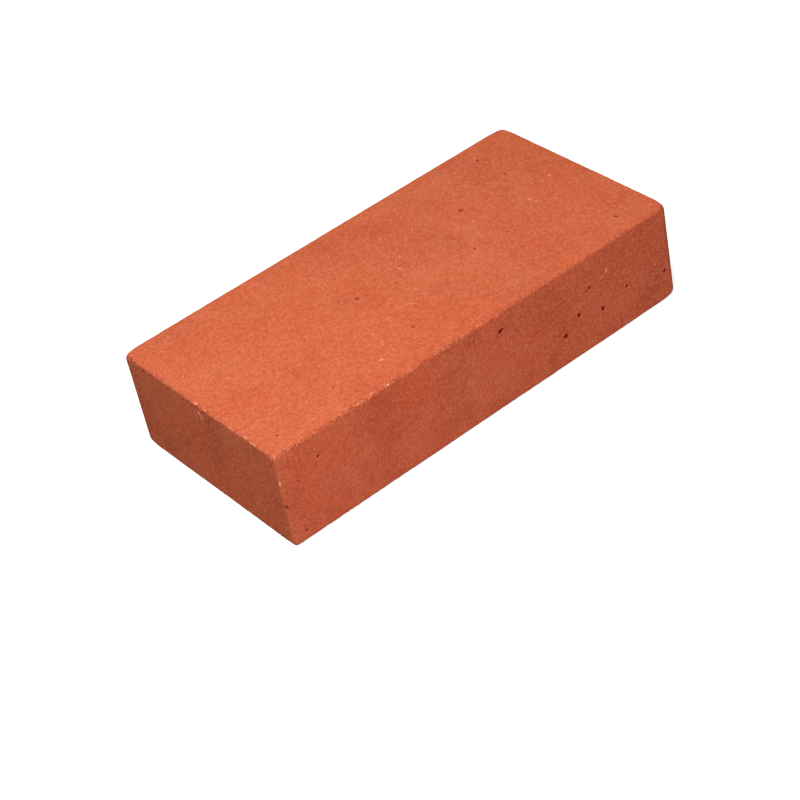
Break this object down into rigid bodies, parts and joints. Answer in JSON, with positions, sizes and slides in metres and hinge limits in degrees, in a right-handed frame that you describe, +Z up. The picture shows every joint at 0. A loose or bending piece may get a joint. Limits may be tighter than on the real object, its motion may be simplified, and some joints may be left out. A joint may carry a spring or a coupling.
{
  "type": "paving brick",
  "caption": "Solid rectangular fired clay paving brick with flat faces, rounded upright corners and dulled arrises, laid on its bed in paths, yards and drives.",
  "frame": {"origin": "middle of the bed face, which lies on the floor", "axes": "+X along the brick's length, +Y across its width, +Z up from the bed face to the wearing face"},
  "size_m": [0.23, 0.115, 0.05],
  "materials": {
    "fired_clay": "matte"
  },
  "bodies": {
    "root": {"paving_brick": "fired_clay"}
  },
  "joints": []
}
